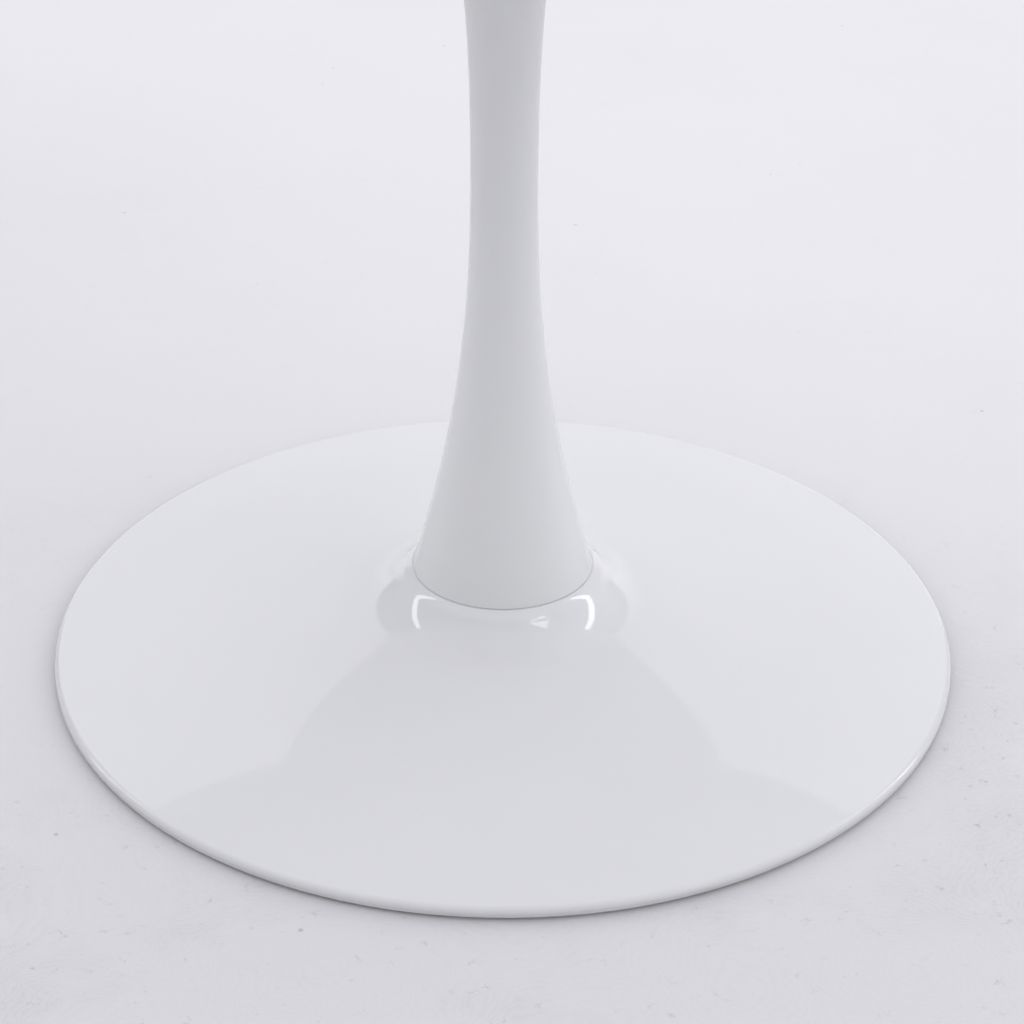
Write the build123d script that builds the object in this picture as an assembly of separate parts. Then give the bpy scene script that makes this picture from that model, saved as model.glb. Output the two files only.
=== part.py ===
from build123d import *
import math
import os

# Round pedestal table: a spun steel dish, a trumpet column standing on the dish's collar and a round board
# on a four-armed spider. One long tie rod clamps them together. Millimetres; floor at z = 0, axis along Z.

# Overall
table_height = 740.0
top_diameter = 1400.0
base_diameter = 683.0

# Board
board_thickness = 25.0
board_edge = 9.0
board_bevel = 71.0
board_edge_round = 1.5

# Column, a tube with a flared foot and head; lean is the wall's angle off the vertical at each end,
# and a pull is the share of the span over which the wall keeps the direction it has at that end
foot_diameter = 136.0
waist_diameter = 47.2
head_diameter = 168.0
waist_height = 373.0
column_wall = 2.5
foot_lean_angle = 16.0
head_lean_angle = 30.0
foot_pull = 0.336
waist_pull_down = 0.406
waist_pull_up = 0.198
head_pull = 0.373
end_plate = 5.0
weld_gap = 0.3

# Dish; a slope is the fall of the painted face, in degrees, going outwards
sheet = 2.0
rim_lift = 3.2
rim_round = 5.0
rim_flange = 0.5
rim_angle = 5.5
flat_angle = 3.2
flat_radius = 246.0
hub_angle = 11.9
collar_fillet = 55.0
collar_angle = 54.0
collar_shoulder = 24.0
shoulder_angle = 31.0
collar_step = 1.5
collar_round = 0.8
ledge_hole = 80.0

# Edge strip under the dish's raw edge, cut once where its ends butt
strip_height = 1.2
strip_width = 3.3
strip_lip = 1.0
strip_lip_height = 1.0
strip_joint = 1.2
strip_joint_angle = 182.5

# Foot gasket, whose edge shows as a dark line between column and collar, and the column's centring spigot
gasket_thickness = 0.5
gasket_width = 14.0
gasket_inset = 0.5
spigot_depth = 1.4
spigot_clearance = 0.3

# Hub and ballast under the dish
clamp_plate_thickness = 8.0
clamp_plate_inset = 4.0
hub_step = 4.0
hub_wall = 4.0
ballast_thickness = 6.0
skirt_gap = 0.3
spanner_hole = 90.0

# Floor pads
pad_count = 8
pad_diameter = 40.0
pad_thickness = 4.0
pad_inset = 8.0

# Tie rod and its nuts
rod_diameter = 12.0
rod_clearance = 0.5
thread_clearance = 0.1
rod_end = 6.0
rod_top_gap = 0.5
nut_across_flats = 18.0
nut_height = 10.0
lock_nut_height = 6.0
washer_diameter = 37.0
washer_thickness = 3.0
spring_washer_diameter = 21.0
spring_washer_thickness = 2.5
spring_washer_split = 2.0

# Spider, its boss, bolts and inserts
spider_thickness = 4.0
spider_span = 660.0
spider_arm_width = 54.0
spider_disc = 230.0
spider_arms = 4
spider_turn_angle = 45.0
boss_diameter = 28.0
boss_length = 25.0
boss_clearance = 0.3
bolt_diameter = 6.0
bolt_clearance = 0.3
bolt_length = 15.0
bolt_head_diameter = 10.5
bolt_head_height = 3.3
bolt_socket = 4.0
bolt_socket_depth = 2.0
bolt_inset = 24.0
bolt_spacing = 120.0
insert_diameter = 9.0
insert_length = 13.0
insert_clearance = 0.1
insert_hole_depth = 14.0


def sine(degrees):
    return math.sin(math.radians(degrees))


def cosine(degrees):
    return math.cos(math.radians(degrees))


def at(radius, height):
    """Point of a turned outline."""
    return Vector(radius, 0, height)


def turned(*corners):
    """Solid turned about the axis from the (radius, height) corners of its outline."""
    outline = Polyline(*[at(radius, height) for radius, height in corners], close=True)
    return revolve(make_face(outline), Axis.Z)


def turned_from(edges):
    """Solid turned about the axis from the edges of its outline."""
    return revolve(make_face(edges), Axis.Z)


def ring(outer_radius, inner_radius, low, high):
    """Flat ring or tube standing on the axis."""
    return turned((inner_radius, low), (outer_radius, low), (outer_radius, high), (inner_radius, high))


def disc(radius, low, high):
    """Solid round plate standing on the axis."""
    return turned((0, low), (radius, low), (radius, high), (0, high))


def hexagon_nut(low, height):
    """Hexagon nut on the tie rod."""
    flats = RegularPolygon(nut_across_flats / 2, 6, major_radius=False)
    nut = extrude(Pos(0, 0, low) * flats, height)
    return nut - disc(rod_radius + thread_clearance, low, low + height)


# Heights and radii that follow from the sizes above
rod_radius = rod_diameter / 2
rod_hole = rod_radius + rod_clearance
base_radius = base_diameter / 2
foot_radius = foot_diameter / 2
waist_radius = waist_diameter / 2
head_radius = head_diameter / 2
board_bottom = table_height - board_thickness
head_height = board_bottom - spider_thickness

# Stations of the dish's painted face, from the collar's shoulder out to the raw edge, each with its slope.
# They are found from the rim inwards, because the rim's height above the floor is given.
raw_edge = at(base_radius, rim_lift + strip_height)
rim_side = raw_edge + at(0, rim_flange)
rim_start = rim_side + at(rim_round * (sine(rim_angle) - 1), rim_round * cosine(rim_angle))
crown = (rim_start.X - flat_radius) / (sine(rim_angle) - sine(flat_angle))
flat_point = at(flat_radius, rim_start.Z + crown * (cosine(flat_angle) - cosine(rim_angle)))
shoulder_radius = foot_radius + collar_step
steepest_radius = shoulder_radius + collar_shoulder * (sine(collar_angle) - sine(shoulder_angle))
fillet_end_radius = steepest_radius + collar_fillet * (sine(collar_angle) - sine(hub_angle))
hollow = (flat_radius - fillet_end_radius) / (sine(hub_angle) - sine(flat_angle))
fillet_end = at(fillet_end_radius, flat_point.Z + hollow * (cosine(flat_angle) - cosine(hub_angle)))
steepest = at(steepest_radius, fillet_end.Z + collar_fillet * (cosine(hub_angle) - cosine(collar_angle)))
shoulder_rise = collar_shoulder * (cosine(shoulder_angle) - cosine(collar_angle))
shoulder = at(shoulder_radius, steepest.Z + shoulder_rise)
stations = [
    (shoulder, shoulder_angle),
    (steepest, collar_angle),
    (fillet_end, hub_angle),
    (flat_point, flat_angle),
    (rim_start, rim_angle),
    (rim_side, 90.0),
    (raw_edge, 90.0),
]

# The collar's flat ledge, with its rounded edge, and the column's foot on the gasket above it
edge_start_radius = shoulder_radius - collar_round * sine(shoulder_angle)
ledge_top = shoulder.Z + collar_round * (1 - cosine(shoulder_angle))
ledge_bottom = ledge_top - sheet
foot_end = ledge_top + gasket_thickness

# The stack under the collar's ledge, and the ballast plate, which reaches out to the dish's underside
clamp_bottom = ledge_bottom - clamp_plate_thickness
clamp_radius = foot_radius - clamp_plate_inset
hub_radius = clamp_radius - hub_step
ballast_top = pad_thickness + ballast_thickness
crown_centre = flat_point - at(crown * sine(flat_angle), crown * cosine(flat_angle))
crown_inside = crown - sheet - skirt_gap
ballast_radius = crown_centre.X + math.sqrt(crown_inside**2 - (ballast_top - crown_centre.Z) ** 2)
washer_bottom = clamp_bottom - washer_thickness
spring_bottom = washer_bottom - spring_washer_thickness
nut_bottom = spring_bottom - nut_height
boss_bottom = head_height - boss_length

# Bolts along each arm of the spider
bolt_radii = [spider_span / 2 - bolt_inset, spider_span / 2 - bolt_inset - bolt_spacing]
bolt_bearings = [spider_turn_angle + 360.0 / spider_arms * arm for arm in range(spider_arms)]
bolt_places = [Rot(0, 0, bearing) * Pos(radius, 0, 0) for bearing in bolt_bearings for radius in bolt_radii]


def sunk(point, slope, depth):
    """Point under a face of that slope, square to it."""
    return point - at(depth * sine(slope), depth * cosine(slope))


def dish_skin(depth):
    """Edges of the dish's face from the collar's shoulder to the raw edge, at a depth under the paint."""
    edges = []
    for (start, start_slope), (end, end_slope) in zip(stations, stations[1:]):
        first = sunk(start, start_slope, depth)
        last = sunk(end, end_slope, depth)
        if start_slope == end_slope:
            edges.append(Line(first, last))
            continue
        radius = (end.X - start.X) / (sine(start_slope) - sine(end_slope))
        slope = (start_slope + end_slope) / 2
        turn = at(sine(start_slope) - sine(slope), cosine(start_slope) - cosine(slope))
        edges.append(ThreePointArc(first, sunk(start + turn * radius, slope, depth), last))
    return edges


def make_base_shell():
    """Spun dish: rolled rim, S-shaped face, bell-shaped collar and a flat ledge that carries the column."""
    edge_start = at(edge_start_radius, ledge_top)
    edge_centre = edge_start - at(0, collar_round)
    edge_middle = sunk(edge_centre, shoulder_angle / 2, -collar_round)
    closing = Polyline(raw_edge, at(0, raw_edge.Z), at(0, ledge_top), edge_start)
    shell = turned_from([ThreePointArc(edge_start, edge_middle, shoulder), *dish_skin(0), closing])
    inside_top = sunk(shoulder, shoulder_angle, sheet)
    inside_edge = sunk(raw_edge, 90.0, sheet)
    closing = Polyline(inside_edge, at(0, inside_edge.Z), at(0, inside_top.Z), inside_top)
    inside = turned_from([*dish_skin(sheet), closing])
    shell -= inside - disc(base_radius, ledge_bottom, ledge_top)
    return shell - disc(ledge_hole / 2, ledge_bottom, ledge_top)


def make_rim_edge_strip():
    """Soft strip under the raw edge, with a lip inside the rim, cut where its two ends butt."""
    inner = base_radius - strip_width
    strip = turned(
        (inner, rim_lift),
        (base_radius, rim_lift),
        (base_radius, raw_edge.Z),
        (inner + strip_lip, raw_edge.Z),
        (inner + strip_lip, raw_edge.Z + strip_lip_height),
        (inner, raw_edge.Z + strip_lip_height),
    )
    joint = Box(2 * strip_width, strip_joint, table_height)
    return strip - Rot(0, 0, strip_joint_angle) * Pos(base_radius - strip_width / 2, 0, 0) * joint


def trumpet(inset):
    """Edges of the column's wall from its foot to its head, at a radial inset."""
    foot_span = waist_height - foot_end
    head_span = head_height - waist_height
    foot = at(foot_radius - inset, foot_end)
    waist = at(waist_radius - inset, waist_height)
    head = at(head_radius - inset, head_height)
    foot_guide = foot + at(-sine(foot_lean_angle), cosine(foot_lean_angle)) * (foot_pull * foot_span)
    waist_guide_down = waist - at(0, waist_pull_down * foot_span)
    waist_guide_up = waist + at(0, waist_pull_up * head_span)
    head_guide = head - at(sine(head_lean_angle), cosine(head_lean_angle)) * (head_pull * head_span)
    return [
        Bezier(foot, foot_guide, waist_guide_down, waist),
        Bezier(waist, waist_guide_up, head_guide, head),
    ]


def make_column():
    """Trumpet tube: one smooth curve from foot to waist and one from waist to head."""
    foot_rim = Line(at(foot_radius, foot_end), at(foot_radius - column_wall, foot_end))
    head_rim = Line(at(head_radius, head_height), at(head_radius - column_wall, head_height))
    return turned_from([*trumpet(0), head_rim, *trumpet(column_wall), foot_rim])


def column_bore():
    """Space inside the column, clear of its wall by the weld gap."""
    inset = column_wall + weld_gap
    foot_closing = Line(at(0, foot_end), at(foot_radius - inset, foot_end))
    head_closing = Line(at(head_radius - inset, head_height), at(0, head_height))
    axis = Line(at(0, head_height), at(0, foot_end))
    return turned_from([foot_closing, *trumpet(inset), head_closing, axis])


def make_end_plate(low, hole_radius):
    """Disc welded inside one end of the column, with a hole on the axis."""
    plate = column_bore() & disc(base_radius, low, low + end_plate)
    return plate - disc(hole_radius, low, low + end_plate)


def make_foot_plate():
    """End plate of the column's foot, with a turned spigot that drops into the collar's hole."""
    plate = make_end_plate(foot_end, rod_hole)
    spigot_radius = ledge_hole / 2 - spigot_clearance
    return plate + ring(spigot_radius, rod_hole, ledge_top - spigot_depth, foot_end)


def make_foot_gasket():
    """Thin ring on the collar's ledge, under the column's foot."""
    outer = foot_radius - gasket_inset
    return ring(outer, outer - gasket_width, ledge_top, foot_end)


def make_spring_washer():
    """Split ring under the washer, bearing on the nut."""
    washer = ring(spring_washer_diameter / 2, rod_radius + thread_clearance, spring_bottom, washer_bottom)
    split = Pos(spring_washer_diameter / 2, 0, spring_bottom)
    return washer - split * Box(spring_washer_diameter, spring_washer_split, 4 * spring_washer_thickness)


def make_floor_pads():
    """Pads round the edge of the ballast plate's underside."""
    pad_circle = ballast_radius - pad_inset - pad_diameter / 2
    pad = Pos(pad_circle, 0, 0) * disc(pad_diameter / 2, 0, pad_thickness)
    return [Rot(0, 0, 360.0 / pad_count * index) * pad for index in range(pad_count)]


def make_table_top():
    """Round board, bevelled underneath to a thin edge, with blind holes for the inserts."""
    board_radius = top_diameter / 2
    board = turned(
        (0, board_bottom),
        (board_radius - board_bevel, board_bottom),
        (board_radius, table_height - board_edge),
        (board_radius, table_height),
        (0, table_height),
    )
    rims = board.edges().filter_by(GeomType.CIRCLE).sort_by(SortBy.RADIUS)
    board = fillet(rims[-2:], board_edge_round)
    hole = disc(insert_diameter / 2 + insert_clearance, board_bottom, board_bottom + insert_hole_depth)
    for place in bolt_places:
        board -= place * hole
    return board


def make_board_inserts():
    """Threaded inserts flush with the board's underside."""
    bore = bolt_diameter / 2 + thread_clearance
    insert = ring(insert_diameter / 2, bore, board_bottom, board_bottom + insert_length)
    return [place * insert for place in bolt_places]


def make_spider_bolts():
    """Button-head bolts from below, through the arms and into the inserts."""
    head_bottom = head_height - bolt_head_height
    head_radius_low = bolt_head_diameter / 2 - bolt_head_height / 2
    bolt = turned(
        (0, head_bottom),
        (head_radius_low, head_bottom),
        (bolt_head_diameter / 2, head_height - bolt_head_height / 3),
        (bolt_head_diameter / 2, head_height),
        (bolt_diameter / 2, head_height),
        (bolt_diameter / 2, head_height + bolt_length),
        (0, head_height + bolt_length),
    )
    socket = RegularPolygon(bolt_socket / 2, 6, major_radius=False)
    bolt -= extrude(Pos(0, 0, head_bottom) * socket, bolt_socket_depth)
    return [place * bolt for place in bolt_places]


def make_top_spider():
    """Four-armed plate cut from sheet, with two bolt holes in each arm."""
    outline = Circle(spider_disc / 2)
    arm_length = (spider_span + spider_arm_width) / 2
    for bearing in bolt_bearings:
        arm = Pos(spider_span / 4, 0, 0) * SlotOverall(arm_length, spider_arm_width)
        outline += Rot(0, 0, bearing) * Pos(-spider_arm_width / 4, 0, 0) * arm
    spider = extrude(Pos(0, 0, head_height) * outline, spider_thickness)
    hole = disc(bolt_diameter / 2 + bolt_clearance, head_height, board_bottom)
    for place in bolt_places:
        spider -= place * hole
    return spider


pieces = {
    "table_top": make_table_top(),
    "board_inserts": make_board_inserts(),
    "spider_bolts": make_spider_bolts(),
    "top_spider": make_top_spider(),
    "spider_boss": ring(boss_diameter / 2, rod_radius + thread_clearance, boss_bottom, head_height),
    "rod_lock_nut": hexagon_nut(boss_bottom - lock_nut_height, lock_nut_height),
    "tie_rod": disc(rod_radius, nut_bottom - rod_end, head_height - rod_top_gap),
    "column": make_column(),
    "column_head_plate": make_end_plate(head_height - end_plate, boss_diameter / 2 + boss_clearance),
    "column_foot_plate": make_foot_plate(),
    "foot_gasket": make_foot_gasket(),
    "base_shell": make_base_shell(),
    "rim_edge_strip": make_rim_edge_strip(),
    "clamp_plate": ring(clamp_radius, rod_hole, clamp_bottom, ledge_bottom),
    "hub_tube": ring(hub_radius, hub_radius - hub_wall, ballast_top, clamp_bottom),
    "ballast_plate": ring(ballast_radius, spanner_hole / 2, pad_thickness, ballast_top),
    "clamp_washer": ring(washer_diameter / 2, rod_hole, washer_bottom, clamp_bottom),
    "spring_washer": make_spring_washer(),
    "clamp_nut": hexagon_nut(nut_bottom, nut_height),
    "floor_pads": make_floor_pads(),
}

os.makedirs("parts", exist_ok=True)
for name, piece in pieces.items():
    solid = Compound(children=piece) if isinstance(piece, list) else piece
    export_step(solid, f"parts/{name}.step")

print(f"ledge {ledge_top:.2f}, hollow {hollow:.0f}, crown {crown:.0f}, ballast radius {ballast_radius:.1f}")
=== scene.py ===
import math

import bpy
from mathutils import Matrix, Vector


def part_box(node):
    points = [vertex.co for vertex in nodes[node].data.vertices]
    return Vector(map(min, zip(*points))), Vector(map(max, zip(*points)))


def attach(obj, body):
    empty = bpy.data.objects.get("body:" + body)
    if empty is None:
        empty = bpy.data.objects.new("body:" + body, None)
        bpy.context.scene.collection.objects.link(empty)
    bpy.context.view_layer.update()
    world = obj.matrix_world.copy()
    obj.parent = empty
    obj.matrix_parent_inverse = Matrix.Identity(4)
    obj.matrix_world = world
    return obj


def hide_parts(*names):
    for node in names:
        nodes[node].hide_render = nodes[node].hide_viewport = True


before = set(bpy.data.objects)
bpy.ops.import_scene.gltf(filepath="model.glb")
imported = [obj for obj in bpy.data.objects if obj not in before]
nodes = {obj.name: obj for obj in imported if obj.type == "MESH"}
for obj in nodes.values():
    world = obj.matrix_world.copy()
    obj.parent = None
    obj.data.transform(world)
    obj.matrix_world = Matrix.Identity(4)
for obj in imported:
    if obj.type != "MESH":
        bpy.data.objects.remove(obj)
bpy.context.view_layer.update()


# The floor pads: eight discs punched from dark rubber sheet and glued under the ballast plate.
# They are dusty where they have stood, and their grain is the print of the press.
def new_material(name):
    """A material with its node tree and its shader."""
    material = bpy.data.materials.new(name)
    material.use_nodes = True
    tree = material.node_tree
    return material, tree, tree.nodes["Principled BSDF"]


def put(tree, kind, **values):
    """Adds a node; a socket's name is written with underscores for its spaces."""
    node = tree.nodes.new(kind)
    for key, value in values.items():
        label = key.replace("_", " ")
        sockets = [s for s in node.inputs if s.name.lower() == label and s.enabled]
        if sockets:
            sockets[0].default_value = value
        else:
            setattr(node, key, value)
    return node


def ramp(tree, source, low, high, from_low=0.0, from_high=1.0):
    """Maps the range given last to the range given first, and clamps the result."""
    node = put(tree, "ShaderNodeMapRange", to_min=low, to_max=high, from_min=from_low,
               from_max=from_high)
    tree.links.new(source, node.inputs["Value"])
    return node.outputs["Result"]


def product(tree, first, second):
    """Two values multiplied."""
    node = put(tree, "ShaderNodeMath", operation="MULTIPLY")
    tree.links.new(first, node.inputs[0])
    tree.links.new(second, node.inputs[1])
    return node.outputs[0]


def wear_group():
    """Dust specks, faint wiping marks and an unevenness of tone, as they lie on every finish."""
    group = bpy.data.node_groups.new("surface_wear", "ShaderNodeTree")
    scale = group.interface.new_socket("Scale", in_out="INPUT", socket_type="NodeSocketFloat")
    scale.default_value = 1.0
    for name in ("Specks", "Wiping", "Unevenness"):
        group.interface.new_socket(name, in_out="OUTPUT", socket_type="NodeSocketFloat")
    given = put(group, "NodeGroupInput")
    result = put(group, "NodeGroupOutput")
    place = put(group, "ShaderNodeTexCoord")
    scaled = put(group, "ShaderNodeVectorMath", operation="SCALE")
    group.links.new(place.outputs["Object"], scaled.inputs[0])
    group.links.new(given.outputs["Scale"], scaled.inputs["Scale"])
    cells = put(group, "ShaderNodeTexVoronoi", scale=90.0, randomness=1.0)
    group.links.new(scaled.outputs[0], cells.inputs["Vector"])
    near = ramp(group, cells.outputs["Distance"], 1.0, 0.0, 0.03, 0.07)
    chosen = ramp(group, cells.outputs["Color"], 0.0, 1.0, 0.78, 0.80)
    group.links.new(product(group, near, chosen), result.inputs["Specks"])
    wiping = put(group, "ShaderNodeTexNoise", scale=14.0, detail=5.0, roughness=0.65,
                 distortion=1.4)
    group.links.new(scaled.outputs[0], wiping.inputs["Vector"])
    group.links.new(ramp(group, wiping.outputs["Fac"], 0.0, 1.0, 0.35, 0.7),
                    result.inputs["Wiping"])
    uneven = put(group, "ShaderNodeTexNoise", scale=3.0, detail=2.0)
    group.links.new(scaled.outputs[0], uneven.inputs["Vector"])
    group.links.new(ramp(group, uneven.outputs["Fac"], 0.0, 1.0, 0.3, 0.7),
                    result.inputs["Unevenness"])
    return group


surface_wear = wear_group()


def worn(tree, scale):
    """The wear group, placed in a material; a larger scale makes finer marks."""
    node = put(tree, "ShaderNodeGroup", node_tree=surface_wear)
    node.inputs["Scale"].default_value = scale
    return node


def tinted(tree, share, under, over):
    """One colour laid over another by a share. The under colour is fixed or comes from a node."""
    node = put(tree, "ShaderNodeMix", data_type="RGBA")
    tree.links.new(share, node.inputs[0])
    if isinstance(under, tuple):
        node.inputs[6].default_value = (*under, 1)
    else:
        tree.links.new(under, node.inputs[6])
    node.inputs[7].default_value = (*over, 1)
    return node.outputs[2]


def toned(tree, shader, wear, clean, shaded, speck, speck_share):
    """Colour between two close tones, with specks in a third."""
    tone = tinted(tree, wear.outputs["Unevenness"], clean, shaded)
    dusted = tinted(tree, ramp(tree, wear.outputs["Specks"], 0.0, speck_share), tone, speck)
    tree.links.new(dusted, shader.inputs["Base Color"])
    return dusted


def relief(tree, scale, detail, depth, under=None):
    """Bump from noise, with its depth in metres, laid over another bump if one is given."""
    place = put(tree, "ShaderNodeTexCoord")
    noise = put(tree, "ShaderNodeTexNoise", scale=scale, detail=detail)
    tree.links.new(place.outputs["Object"], noise.inputs["Vector"])
    bump = put(tree, "ShaderNodeBump", strength=1.0, distance=depth)
    tree.links.new(noise.outputs["Fac"], bump.inputs["Height"])
    if under is not None:
        tree.links.new(under, bump.inputs["Normal"])
    return bump.outputs["Normal"]


def dress(material, slot, *names):
    """Gives carried-over pieces a finish."""
    for name in names:
        mesh = nodes[name].data
        mesh.materials.clear()
        mesh.materials.append(material)


rubber, tree, shader = new_material("pad rubber")
wear = worn(tree, scale=4.0)
toned(tree, shader, wear, clean=(0.02, 0.02, 0.021), shaded=(0.035, 0.034, 0.033),
      speck=(0.22, 0.21, 0.2), speck_share=0.6)
tree.links.new(ramp(tree, wear.outputs["Wiping"], 0.65, 0.85), shader.inputs["Roughness"])
tree.links.new(relief(tree, scale=700.0, detail=3.0, depth=0.00006), shader.inputs["Normal"])
dress(rubber, "pad_rubber", "floor_pads")

# The ballast plate and the hub on it: steel cut from plate and welded, under a coarse black powder coat.
# The end plates of the column and the spider under the board have the same coat.
black, tree, shader = new_material("black coat")
wear = worn(tree, scale=2.0)
toned(tree, shader, wear, clean=(0.028, 0.028, 0.03), shaded=(0.04, 0.04, 0.042),
      speck=(0.2, 0.19, 0.18), speck_share=0.4)
tree.links.new(ramp(tree, wear.outputs["Wiping"], 0.45, 0.6), shader.inputs["Roughness"])
tree.links.new(relief(tree, scale=1000.0, detail=3.0, depth=0.00004), shader.inputs["Normal"])
dress(black, "black_coat", "ballast_plate", "hub_tube", "clamp_plate", "column_foot_plate",
      "column_head_plate", "top_spider")

# The dish: spun steel under thick gloss enamel. Spinning leaves long shallow waves that bend what it mirrors,
# its rolled rim is painted grey down the side as painted shade, and the inside has only a thin dull coat.
enamel, tree, shader = new_material("gloss enamel")
wear = worn(tree, scale=1.0)
coat = toned(tree, shader, wear, clean=(0.80, 0.805, 0.82), shaded=(0.785, 0.79, 0.805),
             speck=(0.45, 0.44, 0.42), speck_share=0.25)
height = put(tree, "ShaderNodeSeparateXYZ")
tree.links.new(put(tree, "ShaderNodeTexCoord").outputs["Object"], height.inputs[0])
# Painted shade: the rim's side turns grey from its top down to its foot.
RIM_SHADE_FULL_BELOW, RIM_SHADE_UP_TO = 0.0052, 0.0099
rim_shade = ramp(tree, height.outputs["Z"], 1.0, 0.0, RIM_SHADE_FULL_BELOW, RIM_SHADE_UP_TO)
rim_shaded = tinted(tree, rim_shade, coat, (0.58, 0.575, 0.59))
tree.links.new(rim_shaded, shader.inputs["Base Color"])
tree.links.new(ramp(tree, wear.outputs["Wiping"], 0.01, 0.025), shader.inputs["Roughness"])
shader.inputs["IOR"].default_value = 1.5
waves = relief(tree, scale=9.0, detail=1.0, depth=0.0002)
peel = relief(tree, scale=900.0, detail=1.0, depth=0.000001, under=waves)
tree.links.new(peel, shader.inputs["Normal"])

inside_coat, tree, shader = new_material("thin inside coat")
wear = worn(tree, scale=2.0)
toned(tree, shader, wear, clean=(0.55, 0.55, 0.56), shaded=(0.45, 0.45, 0.46),
      speck=(0.2, 0.19, 0.18), speck_share=0.5)
tree.links.new(ramp(tree, wear.outputs["Wiping"], 0.5, 0.7), shader.inputs["Roughness"])
tree.links.new(relief(tree, scale=700.0, detail=3.0, depth=0.00005), shader.inputs["Normal"])

SHEET = 0.002
RIM_RADIUS = 0.3415
RAW_EDGE = 0.0044
RIM_FLANGE = 0.0005
RIM_ROUND = 0.005
RIM_ANGLE = math.radians(5.5)
FLAT_RADIUS = 0.246
FLAT_ANGLE = math.radians(3.2)
HUB_ANGLE = math.radians(11.9)
FILLET = 0.055
COLLAR_ANGLE = math.radians(54.0)
SHOULDER = 0.024
SHOULDER_ANGLE = math.radians(31.0)
SHOULDER_RADIUS = 0.0695
COLLAR_ROUND = 0.0008
LEDGE_HOLE = 0.040
SHOULDER_BANDS, FILLET_BANDS, HOLLOW_BANDS, CROWN_BANDS, RIM_BANDS = 24, 56, 40, 28, 16
COLLAR_ROUND_BANDS = 6
HIDDEN_COARSE = 4
DISH_TURNS = 360
OUTER_COAT, INNER_COAT = 0, 1

rim_start = (RIM_RADIUS - RIM_ROUND * (1 - math.sin(RIM_ANGLE)),
             RAW_EDGE + RIM_FLANGE + RIM_ROUND * math.cos(RIM_ANGLE))
crown = (rim_start[0] - FLAT_RADIUS) / (math.sin(RIM_ANGLE) - math.sin(FLAT_ANGLE))
flat_height = rim_start[1] + crown * (math.cos(FLAT_ANGLE) - math.cos(RIM_ANGLE))
steepest_radius = SHOULDER_RADIUS + SHOULDER * (math.sin(COLLAR_ANGLE) - math.sin(SHOULDER_ANGLE))
fillet_end_radius = steepest_radius + FILLET * (math.sin(COLLAR_ANGLE) - math.sin(HUB_ANGLE))
hollow = (FLAT_RADIUS - fillet_end_radius) / (math.sin(HUB_ANGLE) - math.sin(FLAT_ANGLE))
fillet_end_height = flat_height + hollow * (math.cos(FLAT_ANGLE) - math.cos(HUB_ANGLE))
steepest_height = fillet_end_height + FILLET * (math.cos(HUB_ANGLE) - math.cos(COLLAR_ANGLE))
shoulder_height = steepest_height + SHOULDER * (math.cos(SHOULDER_ANGLE) - math.cos(COLLAR_ANGLE))
ledge_top = shoulder_height + COLLAR_ROUND * (1 - math.cos(SHOULDER_ANGLE))


def swept(start, radius, first, last, steps, depth):
    """Points of an arc between two slopes, at a depth under the face. A minus radius is a crown."""
    found = []
    for step in range(steps + 1):
        slope = first + (last - first) * step / steps
        out = start[0] + radius * (math.sin(first) - math.sin(slope)) - depth * math.sin(slope)
        up = start[1] + radius * (math.cos(first) - math.cos(slope)) - depth * math.cos(slope)
        found.append((out, up))
    return found


def dish_face(depth, shoulder_from, coarse):
    """The dish's face from a slope on the collar's shoulder out to the raw edge."""
    shoulder = (SHOULDER_RADIUS, shoulder_height)
    begin = swept(shoulder, -SHOULDER, SHOULDER_ANGLE, shoulder_from, 1, 0)[1]
    face = swept(begin, -SHOULDER, shoulder_from, COLLAR_ANGLE, SHOULDER_BANDS // coarse, depth)
    arcs = (((steepest_radius, steepest_height), FILLET, COLLAR_ANGLE, HUB_ANGLE, FILLET_BANDS),
            ((fillet_end_radius, fillet_end_height), hollow, HUB_ANGLE, FLAT_ANGLE, HOLLOW_BANDS),
            ((FLAT_RADIUS, flat_height), -crown, FLAT_ANGLE, RIM_ANGLE, CROWN_BANDS),
            (rim_start, -RIM_ROUND, RIM_ANGLE, math.pi / 2, RIM_BANDS))
    for start, radius, first, last, bands in arcs:
        face += swept(start, radius, first, last, bands // coarse, depth)[1:]
    return face + [(RIM_RADIUS - depth, RAW_EDGE)]


SHARP_BEND = math.radians(35)


def lathe(name, outline, turns, materials):
    """Closed turned skin. An outline point is a radius, a height and its next band's material."""
    count = len(outline)
    points = []
    faces = []
    finish = []
    for step in range(turns):
        angle = 2 * math.pi * step / turns
        points += [(radius * math.cos(angle), radius * math.sin(angle), height)
                   for radius, height, band in outline]
        for index, (radius, height, band) in enumerate(outline):
            after = (index + 1) % count
            here, there = step * count, (step + 1) % turns * count
            faces.append((here + index, here + after, there + after, there + index))
            finish.append(band)
    mesh = bpy.data.meshes.new(name)
    mesh.from_pydata(points, [], faces)
    for material in materials:
        mesh.materials.append(material)
    mesh.polygons.foreach_set("material_index", finish)
    mesh.polygons.foreach_set("use_smooth", [True] * len(faces))
    mesh.set_sharp_from_angle(angle=SHARP_BEND)
    mesh.update()
    piece = bpy.data.objects.new(name, mesh)
    bpy.context.scene.collection.objects.link(piece)
    return piece


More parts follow.
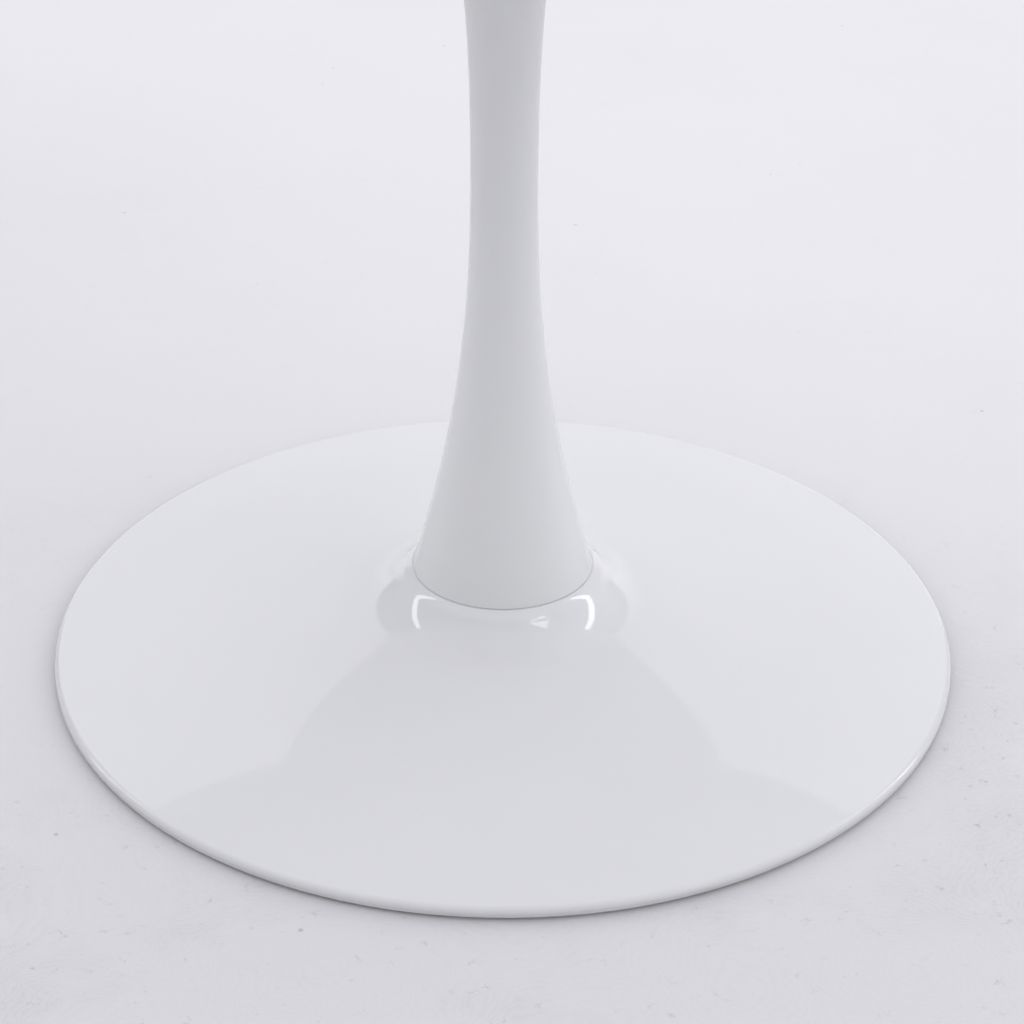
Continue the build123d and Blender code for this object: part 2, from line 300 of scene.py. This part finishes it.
shoulder_centre = shoulder_height - SHOULDER * math.cos(SHOULDER_ANGLE)
ledge_slope = math.acos((ledge_top - SHEET - shoulder_centre) / (SHOULDER - SHEET))
edge_start = (SHOULDER_RADIUS - COLLAR_ROUND * math.sin(SHOULDER_ANGLE), ledge_top)
outside = swept(edge_start, -COLLAR_ROUND, 0.0, SHOULDER_ANGLE, COLLAR_ROUND_BANDS, 0.0)
outside += dish_face(0.0, SHOULDER_ANGLE, 1)[1:]
underneath = dish_face(SHEET, ledge_slope, HIDDEN_COARSE)[::-1]
hole = [(LEDGE_HOLE, ledge_top - SHEET), (LEDGE_HOLE, ledge_top)]
outline = [(*point, OUTER_COAT) for point in outside]
outline += [(*point, INNER_COAT) for point in underneath]
outline += [(*point, OUTER_COAT) for point in hole]
dish = lathe("dish", outline, DISH_TURNS, [enamel, inside_coat])
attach(dish, "root")
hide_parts("base_shell")

# The strip under the dish's raw edge: soft white plastic pushed on from below, greyed by the floor and darkened
# further as painted shade under the rim.
# Its two ends butt at the left.
plastic, tree, shader = new_material("strip plastic")
wear = worn(tree, scale=3.0)
# Painted shade: the strip's grey is partly the shadow under the rim.
toned(tree, shader, wear, clean=(0.62, 0.62, 0.63), shaded=(0.5, 0.5, 0.5),
      speck=(0.3, 0.29, 0.27), speck_share=0.5)
tree.links.new(ramp(tree, wear.outputs["Wiping"], 0.45, 0.6), shader.inputs["Roughness"])
tree.links.new(relief(tree, scale=500.0, detail=2.0, depth=0.00002), shader.inputs["Normal"])
dress(plastic, "edge_strip_white", "rim_edge_strip")

# The gasket on the collar's ledge: a thin ring punched from grey rubber sheet, squeezed by the column's foot.
# Only its edge is seen, as a fine dark line.
grey_rubber, tree, shader = new_material("gasket rubber")
wear = worn(tree, scale=8.0)
toned(tree, shader, wear, clean=(0.36, 0.36, 0.37), shaded=(0.30, 0.30, 0.31),
      speck=(0.45, 0.44, 0.43), speck_share=0.4)
tree.links.new(ramp(tree, wear.outputs["Wiping"], 0.7, 0.9), shader.inputs["Roughness"])
tree.links.new(relief(tree, scale=1500.0, detail=3.0, depth=0.00004), shader.inputs["Normal"])
dress(grey_rubber, "gasket_rubber", "foot_gasket")

# The column: steel tube drawn in at the waist and flared at both ends, with a satin powder coat that is
# a little grainy to the touch and duller than the dish.
satin, tree, shader = new_material("satin powder coat")
wear = worn(tree, scale=1.6)
toned(tree, shader, wear, clean=(0.740, 0.745, 0.755), shaded=(0.730, 0.735, 0.745),
      speck=(0.45, 0.44, 0.42), speck_share=0.2)
tree.links.new(ramp(tree, wear.outputs["Wiping"], 0.235, 0.255), shader.inputs["Roughness"])
tree.links.new(relief(tree, scale=1400.0, detail=2.0, depth=0.000006), shader.inputs["Normal"])

COLUMN_WALL = 0.0025
WAIST = (0.0236, 0.373)
HEAD = (0.084, 0.711)
FOOT_RADIUS = 0.068
FOOT_LEAN, HEAD_LEAN = math.radians(16.0), math.radians(30.0)
FOOT_PULL, WAIST_PULL_DOWN = 0.336, 0.406   # shares of the span from the foot to the waist
WAIST_PULL_UP, HEAD_PULL = 0.198, 0.373   # shares of the span from the waist to the head
CURVE_STEPS = 60
COLUMN_TURNS = 256
LINING_COARSE = 4


def bent(points, steps):
    """Points along a curve with two guide points."""
    found = []
    for step in range(steps + 1):
        share = step / steps
        rest = 1 - share
        weights = (rest ** 3, 3 * rest ** 2 * share, 3 * rest * share ** 2, share ** 3)
        found.append(tuple(sum(w * p[axis] for w, p in zip(weights, points)) for axis in (0, 1)))
    return found


foot = (FOOT_RADIUS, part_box("foot_gasket")[1][2])
low_span, high_span = WAIST[1] - foot[1], HEAD[1] - WAIST[1]
foot_pull, head_pull = FOOT_PULL * low_span, HEAD_PULL * high_span
foot_guide = (foot[0] - foot_pull * math.sin(FOOT_LEAN), foot[1] + foot_pull * math.cos(FOOT_LEAN))
head_guide = (HEAD[0] - head_pull * math.sin(HEAD_LEAN), HEAD[1] - head_pull * math.cos(HEAD_LEAN))
waist_guides = ((WAIST[0], WAIST[1] - WAIST_PULL_DOWN * low_span),
                (WAIST[0], WAIST[1] + WAIST_PULL_UP * high_span))
lower = bent([foot, foot_guide, waist_guides[0], WAIST], CURVE_STEPS)
upper = bent([WAIST, waist_guides[1], head_guide, HEAD], CURVE_STEPS)
wall = lower + upper[1:]
lining = [(radius - COLUMN_WALL, height) for radius, height in wall[::LINING_COARSE]]
outline = [(*point, OUTER_COAT) for point in lining + wall[::-1]]
column = lathe("trumpet_column", outline, COLUMN_TURNS, [satin])
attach(column, "root")
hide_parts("column")

# The rod with its nuts and washers, the boss, the bolts and the inserts: turned steel, plated with bright zinc
# and cloudy where the bath has left a fine spangle. The rod's two ends have a thread for its nuts and its boss.
zinc, tree, shader = new_material("zinc plate")
wear = worn(tree, scale=6.0)
toned(tree, shader, wear, clean=(0.62, 0.63, 0.65), shaded=(0.5, 0.51, 0.54),
      speck=(0.25, 0.22, 0.18), speck_share=0.5)
shader.inputs["Metallic"].default_value = 1.0
tree.links.new(ramp(tree, wear.outputs["Wiping"], 0.22, 0.42), shader.inputs["Roughness"])
tree.links.new(relief(tree, scale=900.0, detail=3.0, depth=0.00002), shader.inputs["Normal"])
dress(zinc, "zinc_plate", "clamp_nut", "rod_lock_nut", "clamp_washer", "spring_washer", "spider_boss",
      "spider_bolts", "board_inserts")

ROD_RADIUS = 0.006
ROD_CHAMFER = 0.0012
THREAD_PITCH = 0.00175
THREAD_DEPTH = 0.00107
THREAD_LENGTH = 0.045
THREAD_STEPS = 156
ROD_SIDES = 36


def threaded_rod(name, low, high, material):
    """Rod with a cut thread on both ends that runs out into a plain shank."""
    zone = [THREAD_LENGTH * step / THREAD_STEPS for step in range(THREAD_STEPS + 1)]
    points = []
    for height in [low + rise for rise in zone] + [high - rise for rise in zone[::-1]]:
        from_end = min(height - low, high - height)
        run_out = min(1.0, (THREAD_LENGTH - from_end) / THREAD_PITCH)
        tip = ROD_RADIUS - max(0.0, ROD_CHAMFER - from_end)
        for side in range(ROD_SIDES):
            phase = (height / THREAD_PITCH - side / ROD_SIDES) % 1
            radius = min(tip, ROD_RADIUS - THREAD_DEPTH * run_out * (1 - abs(2 * phase - 1)))
            angle = 2 * math.pi * side / ROD_SIDES
            points.append((radius * math.cos(angle), radius * math.sin(angle), height))
    rows = len(points) // ROD_SIDES
    faces = [tuple(range(ROD_SIDES))[::-1], tuple(range((rows - 1) * ROD_SIDES, rows * ROD_SIDES))]
    for row in range(rows - 1):
        here, above = row * ROD_SIDES, (row + 1) * ROD_SIDES
        for side in range(ROD_SIDES):
            after = (side + 1) % ROD_SIDES
            faces.append((here + side, here + after, above + after, above + side))
    mesh = bpy.data.meshes.new(name)
    mesh.from_pydata(points, [], faces)
    mesh.materials.append(material)
    piece = bpy.data.objects.new(name, mesh)
    bpy.context.scene.collection.objects.link(piece)
    return piece


rod_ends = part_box("tie_rod")
rod = threaded_rod("threaded_rod", rod_ends[0][2], rod_ends[1][2], zinc)
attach(rod, "root")
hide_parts("tie_rod")

# The board: fibreboard with its edge bevelled from below, then sprayed all round with satin white lacquer.
# The sprayed coat has a faint pebble.
lacquer, tree, shader = new_material("board lacquer")
wear = worn(tree, scale=0.8)
toned(tree, shader, wear, clean=(0.80, 0.80, 0.81), shaded=(0.785, 0.785, 0.795),
      speck=(0.45, 0.44, 0.42), speck_share=0.2)
tree.links.new(ramp(tree, wear.outputs["Wiping"], 0.28, 0.36), shader.inputs["Roughness"])
tree.links.new(relief(tree, scale=800.0, detail=2.0, depth=0.000006), shader.inputs["Normal"])
dress(lacquer, "white_lacquer", "table_top")

# The studio floor: painted white with a roller, with small specks of dirt and curved scuffs from shoes.
# It is greyer in front, where people tread, and that greying also stands as painted shade for the dimmer light
# in front.
FLOOR_REACH = 40.0
corners = [(x * FLOOR_REACH, y * FLOOR_REACH, 0) for x, y in ((-1, -1), (1, -1), (1, 1), (-1, 1))]
floor_mesh = bpy.data.meshes.new("floor")
floor_mesh.from_pydata(corners, [], [(0, 1, 2, 3)])
floor = bpy.data.objects.new("floor", floor_mesh)
bpy.context.scene.collection.objects.link(floor)
floor_paint, tree, shader = new_material("floor paint")
wear = worn(tree, scale=0.35)
paint = toned(tree, shader, wear, clean=(0.80, 0.795, 0.82), shaded=(0.785, 0.78, 0.805),
              speck=(0.3, 0.29, 0.28), speck_share=0.5)
place = put(tree, "ShaderNodeTexCoord").outputs["Object"]
patches = put(tree, "ShaderNodeTexNoise", scale=4.0, detail=6.0, roughness=0.7)
tree.links.new(place, patches.inputs["Vector"])
SCUFF_DRAG = (0.12, 0.12, 0.0)
dragged = put(tree, "ShaderNodeVectorMath", operation="MULTIPLY_ADD")
dragged.inputs[1].default_value = SCUFF_DRAG
tree.links.new(patches.outputs["Color"], dragged.inputs[0])
tree.links.new(place, dragged.inputs[2])
heels = put(tree, "ShaderNodeTexVoronoi", scale=6.0)
tree.links.new(dragged.outputs[0], heels.inputs["Vector"])
SCUFF_RINGS = 240.0
turns = put(tree, "ShaderNodeMath", operation="MULTIPLY")
turns.inputs[1].default_value = SCUFF_RINGS
tree.links.new(heels.outputs["Distance"], turns.inputs[0])
lines = put(tree, "ShaderNodeMath", operation="SINE")
tree.links.new(turns.outputs[0], lines.inputs[0])
floor_axes = put(tree, "ShaderNodeSeparateXYZ")
tree.links.new(place, floor_axes.inputs[0])
FULL_TREAD_AND_SHADE_BEFORE, CLEANER_AND_LIGHTER_BEHIND = -0.35, 0.3
# Marks crowd towards the front: real tread, and partly painted shade of the dimmer front.
tread_and_front_shade = ramp(tree, floor_axes.outputs["Y"], 1.0, 0.15, FULL_TREAD_AND_SHADE_BEFORE, CLEANER_AND_LIGHTER_BEHIND)
dirt_and_front_shade = product(tree, ramp(tree, patches.outputs["Fac"], 0.3, 1.0, 0.48, 0.66), tread_and_front_shade)
scuffs = product(tree, ramp(tree, lines.outputs[0], 0.22, 0.36, -0.2, 1.0), dirt_and_front_shade)
scuffed = tinted(tree, scuffs, paint, (0.5, 0.49, 0.5))
grit = put(tree, "ShaderNodeTexNoise", scale=70.0, detail=4.0, roughness=0.75)
tree.links.new(place, grit.inputs["Vector"])
stains = product(tree, ramp(tree, grit.outputs["Fac"], 0.0, 0.9, 0.615, 0.72), dirt_and_front_shade)
stained = tinted(tree, stains, scuffed, (0.30, 0.28, 0.29))
tree.links.new(stained, shader.inputs["Base Color"])
shader.inputs["Roughness"].default_value = 0.45
shader.inputs["Specular IOR Level"].default_value = 0.5
floor_mesh.materials.append(floor_paint)

# The studio: soft light from all around, strongest from the sides and from behind, with the room in front dim.
# What gloss mirrors of it is a bright backdrop behind the table and a darker room beside and before it.
world = bpy.data.worlds.new("studio")
bpy.context.scene.world = world
world.use_nodes = True
tree = world.node_tree
background = tree.nodes["Background"]
background.inputs["Color"].default_value = (0.975, 0.975, 1.0, 1)
towards = put(tree, "ShaderNodeTexCoord").outputs["Generated"]
# Bearing from the front, rise, focus and strength of each part of the light.
LIT_FROM = ((180, 45, 3, 0.75), (90, 0, 1, 1.13), (-90, 0, 1, 1.69), (48, 40, 8, 1.00),
            (135, 20, 6, 0.85), (45, 10, 8, 0.90))
lighting = None
for turn, rise, focus, strength in LIT_FROM:
    flat = math.cos(math.radians(rise))
    aim = (flat * math.sin(math.radians(turn)), -flat * math.cos(math.radians(turn)),
           math.sin(math.radians(rise)))
    facing = put(tree, "ShaderNodeVectorMath", operation="DOT_PRODUCT")
    facing.inputs[1].default_value = aim
    tree.links.new(towards, facing.inputs[0])
    spread = put(tree, "ShaderNodeMath", operation="POWER")
    spread.inputs[1].default_value = focus
    tree.links.new(ramp(tree, facing.outputs["Value"], 0.0, 1.0), spread.inputs[0])
    total = put(tree, "ShaderNodeMath", operation="MULTIPLY_ADD")
    total.inputs[1].default_value = strength
    total.inputs[2].default_value = 0.0
    tree.links.new(spread.outputs[0], total.inputs[0])
    if lighting is not None:
        tree.links.new(lighting, total.inputs[2])
    lighting = total.outputs[0]
BACKDROP_ANGLE = math.radians(34.0)
BACKDROP_EDGE = 0.01
SEEN_BACKDROP = 0.82
direction = put(tree, "ShaderNodeSeparateXYZ")
tree.links.new(towards, direction.inputs[0])
bearing = put(tree, "ShaderNodeMath", operation="ARCTAN2")
tree.links.new(direction.outputs["X"], bearing.inputs[0])
tree.links.new(direction.outputs["Y"], bearing.inputs[1])
aside = put(tree, "ShaderNodeMath", operation="ABSOLUTE")
tree.links.new(bearing.outputs[0], aside.inputs[0])
mirrored = put(tree, "ShaderNodeMix", data_type="FLOAT")
tree.links.new(ramp(tree, direction.outputs["Z"], 1.05, 1.25, 0.3, 0.6), mirrored.inputs[2])
tree.links.new(ramp(tree, aside.outputs[0], 0.0, 1.0, BACKDROP_ANGLE - BACKDROP_EDGE,
                    BACKDROP_ANGLE + BACKDROP_EDGE), mirrored.inputs[0])
tree.links.new(ramp(tree, direction.outputs["X"], 0.05, 0.2, -0.3, 0.3), mirrored.inputs[3])
level = put(tree, "ShaderNodeMix", data_type="FLOAT")
tree.links.new(put(tree, "ShaderNodeLightPath").outputs["Is Glossy Ray"], level.inputs[0])
tree.links.new(lighting, level.inputs[2])
tree.links.new(mirrored.outputs[0], level.inputs[3])
shown = put(tree, "ShaderNodeMix", data_type="FLOAT")
shown.inputs[3].default_value = SEEN_BACKDROP
tree.links.new(put(tree, "ShaderNodeLightPath").outputs["Is Camera Ray"], shown.inputs[0])
tree.links.new(level.outputs[0], shown.inputs[2])
tree.links.new(shown.outputs[0], background.inputs["Strength"])


# Soft lights: a tall strip on either side, a little behind the table, and a smaller one at the front right.
# Each is a glowing card that the camera doesn't see.
def soft_light(name, corners, level):
    """Glowing card from corners given by bearing, distance and height."""
    points = [(far * math.sin(math.radians(turn)), -far * math.cos(math.radians(turn)), up)
              for turn, far, up in corners]
    mesh = bpy.data.meshes.new(name)
    mesh.from_pydata(points, [], [tuple(range(len(points)))])
    glow, tree, shader = new_material(name)
    shader.inputs["Base Color"].default_value = (0, 0, 0, 1)
    shader.inputs["Emission Color"].default_value = (1, 1, 1, 1)
    shader.inputs["Emission Strength"].default_value = level
    mesh.materials.append(glow)
    piece = bpy.data.objects.new(name, mesh)
    piece.visible_camera = False
    piece.visible_diffuse = False
    piece.visible_shadow = False
    bpy.context.scene.collection.objects.link(piece)


STRIP_DISTANCE = 2.4
STRIP_FOOT = 0.65
STRIP_TOP = 2.9
for name, first, last, strength in (("right strip", 102, 109, 6.0), ("left strip", -101, -107, 4.8)):
    soft_light(name, [(first, STRIP_DISTANCE, STRIP_FOOT), (last, STRIP_DISTANCE, STRIP_FOOT),
                      (last, STRIP_DISTANCE, STRIP_TOP), (first, STRIP_DISTANCE, STRIP_TOP)], strength)
FRONT_DISTANCE = 2.6
soft_light("front light", [(33, FRONT_DISTANCE, 2.0), (54, FRONT_DISTANCE, 1.9),
                           (54, FRONT_DISTANCE, 2.75), (33, FRONT_DISTANCE, 2.2)], 4.0)

# The camera, where the photograph was taken from: a long lens at standing height, level across.
# It looks down at the dish, and its middle line is a little to the left of the picture's.
IMAGE_WIDTH = 1024.0
FOCAL_LENGTH = 2185.0   # in picture points, as the middle is
MIDDLE = 489.6
SENSOR_WIDTH = 36.0
STANDPOINT = (0, -1.4246, 0.9215)
lens = bpy.data.cameras.new("camera")
lens.sensor_width = SENSOR_WIDTH
lens.lens = FOCAL_LENGTH * SENSOR_WIDTH / IMAGE_WIDTH
lens.shift_x = (IMAGE_WIDTH / 2 - MIDDLE) / IMAGE_WIDTH
camera = bpy.data.objects.new("camera", lens)
pitch, turn, roll = math.radians(29.769), math.radians(-0.401), math.radians(0.046)
forward = Vector((math.sin(turn) * math.cos(pitch), math.cos(turn) * math.cos(pitch),
                  -math.sin(pitch)))
across = forward.cross(Vector((0, 0, 1))).normalized()
upward = across.cross(forward)
right = across * math.cos(roll) + upward * math.sin(roll)
above = upward * math.cos(roll) - across * math.sin(roll)
aimed = Matrix((right, above, -forward)).transposed().to_4x4()
camera.matrix_world = Matrix.Translation(STANDPOINT) @ aimed
bpy.context.scene.collection.objects.link(camera)
bpy.context.scene.camera = camera
bpy.context.scene.view_settings.view_transform = "Standard"
